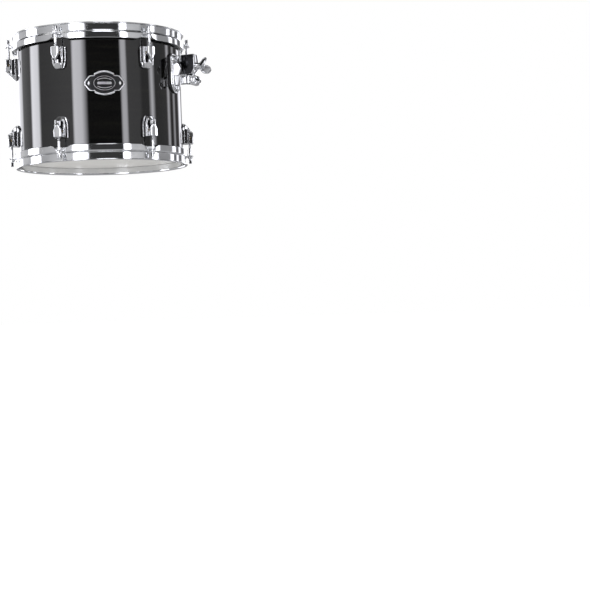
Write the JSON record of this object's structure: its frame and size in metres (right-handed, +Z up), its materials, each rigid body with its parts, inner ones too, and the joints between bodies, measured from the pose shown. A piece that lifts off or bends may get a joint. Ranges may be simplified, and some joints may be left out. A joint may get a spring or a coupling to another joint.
{
  "type": "concert tom",
  "caption": "Double-headed concert tom with triple-flanged hoops, lugs and tension rods, and a shell-mounted clamp with wing nut and memory lock for an L-shaped arm.",
  "frame": {"origin": "centre of the object's box, on the surface it stands on; the drum's axis is 36.757 mm from it towards -X", "axes": "+X from the drum's axis through the clamp, +Z up to the batter head, drum standing on its resonant hoop"},
  "size_m": [0.4496, 0.4048, 0.287],
  "materials": {
    "black_lacquer": "black gloss lacquer over plywood",
    "chrome": "polished chrome plate",
    "zinc_steel": "bright zinc plate",
    "coated_film": "coated polyester film",
    "aluminium": "extruded, satin",
    "rubber": "moulded, matt",
    "brass": "turned",
    "badge_metal": "etched plate, blank"
  },
  "bodies": {
    "root": {"shell": "black_lacquer", "batter_film": "coated_film", "batter_flesh_hoop": "aluminium", "upper_lug_1": "chrome", "upper_lug_2": "chrome", "upper_lug_3": "chrome", "upper_lug_4": "chrome", "upper_lug_5": "chrome", "upper_lug_6": "chrome", "lower_lug_1": "chrome", "lower_lug_2": "chrome", "lower_lug_3": "chrome", "lower_lug_4": "chrome", "lower_lug_5": "chrome", "lower_lug_6": "chrome", "upper_swivel_nut_1": "brass", "upper_swivel_nut_2": "brass", "upper_swivel_nut_3": "brass", "upper_swivel_nut_4": "brass", "upper_swivel_nut_5": "brass", "upper_swivel_nut_6": "brass", "lower_swivel_nut_1": "brass", "lower_swivel_nut_2": "brass", "lower_swivel_nut_3": "brass", "lower_swivel_nut_4": "brass", "lower_swivel_nut_5": "brass", "lower_swivel_nut_6": "brass", "badge": "badge_metal", "air_vent_grommet": "chrome", "bracket_body": "chrome", "bracket_gasket": "rubber", "bracket_backing_plate": "zinc_steel", "bracket_bolt_1": "chrome", "bracket_bolt_2": "chrome", "bracket_bolt_3": "chrome", "wing_nut_washer": "chrome", "memory_lock_body": "chrome", "memory_lock_hinge_pin": "zinc_steel"},
    "batter_hoop": {"batter_hoop": "chrome"},
    "resonant_hoop": {"resonant_hoop": "chrome", "resonant_film": "coated_film", "resonant_flesh_hoop": "aluminium"},
    "upper_rod_1": {"upper_tension_rod_1": "chrome"},
    "upper_rod_2": {"upper_tension_rod_2": "chrome"},
    "upper_rod_3": {"upper_tension_rod_3": "chrome"},
    "upper_rod_4": {"upper_tension_rod_4": "chrome"},
    "upper_rod_5": {"upper_tension_rod_5": "chrome"},
    "upper_rod_6": {"upper_tension_rod_6": "chrome"},
    "lower_rod_1": {"lower_tension_rod_1": "chrome"},
    "lower_rod_2": {"lower_tension_rod_2": "chrome"},
    "lower_rod_3": {"lower_tension_rod_3": "chrome"},
    "lower_rod_4": {"lower_tension_rod_4": "chrome"},
    "lower_rod_5": {"lower_tension_rod_5": "chrome"},
    "lower_rod_6": {"lower_tension_rod_6": "chrome"},
    "eye_bolt": {"eye_bolt": "zinc_steel"},
    "wing_nut": {"wing_nut": "chrome"},
    "memory_lock_gate": {"memory_lock_gate": "chrome"},
    "key_bolt_washer": {"key_bolt_washer": "zinc_steel"},
    "key_bolt": {"memory_lock_key_bolt": "chrome"}
  },
  "joints": [
    {"name": "batter_hoop_slide", "type": "slide", "parent": "root", "child": "batter_hoop", "axis": [0, 0, 1], "range_m": [0, 0.012]},
    {"name": "resonant_hoop_slide", "type": "slide", "parent": "root", "child": "resonant_hoop", "axis": [0, 0, -1], "range_m": [0, 0.012]},
    {"name": "upper_rod_1_turn", "type": "hinge", "parent": "batter_hoop", "child": "upper_rod_1", "pos_m": [-0.2052, -0.09725, 0.2715], "axis": [0, 0, 1], "range_deg": [0, 4084]},
    {"name": "upper_rod_2_turn", "type": "hinge", "parent": "batter_hoop", "child": "upper_rod_2", "pos_m": [-0.03676, -0.1945, 0.2715], "axis": [0, 0, 1], "range_deg": [0, 4084]},
    {"name": "upper_rod_3_turn", "type": "hinge", "parent": "batter_hoop", "child": "upper_rod_3", "pos_m": [0.13168, -0.09725, 0.2715], "axis": [0, 0, 1], "range_deg": [0, 4084]},
    {"name": "upper_rod_4_turn", "type": "hinge", "parent": "batter_hoop", "child": "upper_rod_4", "pos_m": [0.13168, 0.09725, 0.2715], "axis": [0, 0, 1], "range_deg": [0, 4084]},
    {"name": "upper_rod_5_turn", "type": "hinge", "parent": "batter_hoop", "child": "upper_rod_5", "pos_m": [-0.03676, 0.1945, 0.2715], "axis": [0, 0, 1], "range_deg": [0, 4084]},
    {"name": "upper_rod_6_turn", "type": "hinge", "parent": "batter_hoop", "child": "upper_rod_6", "pos_m": [-0.2052, 0.09725, 0.2715], "axis": [0, 0, 1], "range_deg": [0, 4084]},
    {"name": "lower_rod_1_turn", "type": "hinge", "parent": "resonant_hoop", "child": "lower_rod_1", "pos_m": [-0.2052, -0.09725, 0.0155], "axis": [0, 0, -1], "range_deg": [0, 4084]},
    {"name": "lower_rod_2_turn", "type": "hinge", "parent": "resonant_hoop", "child": "lower_rod_2", "pos_m": [-0.03676, -0.1945, 0.0155], "axis": [0, 0, -1], "range_deg": [0, 4084]},
    {"name": "lower_rod_3_turn", "type": "hinge", "parent": "resonant_hoop", "child": "lower_rod_3", "pos_m": [0.13168, -0.09725, 0.0155], "axis": [0, 0, -1], "range_deg": [0, 4084]},
    {"name": "lower_rod_4_turn", "type": "hinge", "parent": "resonant_hoop", "child": "lower_rod_4", "pos_m": [0.13168, 0.09725, 0.0155], "axis": [0, 0, -1], "range_deg": [0, 4084]},
    {"name": "lower_rod_5_turn", "type": "hinge", "parent": "resonant_hoop", "child": "lower_rod_5", "pos_m": [-0.03676, 0.1945, 0.0155], "axis": [0, 0, -1], "range_deg": [0, 4084]},
    {"name": "lower_rod_6_turn", "type": "hinge", "parent": "resonant_hoop", "child": "lower_rod_6", "pos_m": [-0.2052, 0.09725, 0.0155], "axis": [0, 0, -1], "range_deg": [0, 4084]},
    {"name": "wing_nut_turn", "type": "hinge", "parent": "root", "child": "wing_nut", "pos_m": [0.19714, 0, 0.2035], "axis": [1, 0, 0], "range_deg": [0, 863]},
    {"name": "eye_bolt_slide", "type": "slide", "parent": "root", "child": "eye_bolt", "axis": [-1, 0, 0], "range_m": [0, 0.003]},
    {"name": "key_bolt_slide", "type": "slide", "parent": "root", "child": "key_bolt_washer", "axis": [0, -1, 0], "range_m": [0, 0.005]},
    {"name": "key_bolt_turn", "type": "hinge", "parent": "key_bolt_washer", "child": "key_bolt", "pos_m": [0.19034, -0.0113, 0.1737], "axis": [0, -1, 0], "range_deg": [0, 1805]},
    {"name": "memory_gate_hinge", "type": "hinge", "parent": "root", "child": "memory_lock_gate", "pos_m": [0.16304, 0, 0.176], "axis": [0, 0, -1], "range_deg": [0, 8.6]}
  ],
  "couplings": [
    {"joint": "upper_rod_1_turn", "follows": "batter_hoop_slide", "rad_per_m": 5938.7},
    {"joint": "upper_rod_2_turn", "follows": "batter_hoop_slide", "rad_per_m": 5938.7},
    {"joint": "upper_rod_3_turn", "follows": "batter_hoop_slide", "rad_per_m": 5938.7},
    {"joint": "upper_rod_4_turn", "follows": "batter_hoop_slide", "rad_per_m": 5938.7},
    {"joint": "upper_rod_5_turn", "follows": "batter_hoop_slide", "rad_per_m": 5938.7},
    {"joint": "upper_rod_6_turn", "follows": "batter_hoop_slide", "rad_per_m": 5938.7},
    {"joint": "lower_rod_1_turn", "follows": "resonant_hoop_slide", "rad_per_m": 5938.7},
    {"joint": "lower_rod_2_turn", "follows": "resonant_hoop_slide", "rad_per_m": 5938.7},
    {"joint": "lower_rod_3_turn", "follows": "resonant_hoop_slide", "rad_per_m": 5938.7},
    {"joint": "lower_rod_4_turn", "follows": "resonant_hoop_slide", "rad_per_m": 5938.7},
    {"joint": "lower_rod_5_turn", "follows": "resonant_hoop_slide", "rad_per_m": 5938.7},
    {"joint": "lower_rod_6_turn", "follows": "resonant_hoop_slide", "rad_per_m": 5938.7},
    {"joint": "eye_bolt_slide", "follows": "wing_nut_turn", "m_per_rad": 0.00019894},
    {"joint": "key_bolt_turn", "follows": "key_bolt_slide", "rad_per_m": 6283.2},
    {"joint": "memory_gate_hinge", "follows": "key_bolt_slide", "rad_per_m": 29.586}
  ]
}
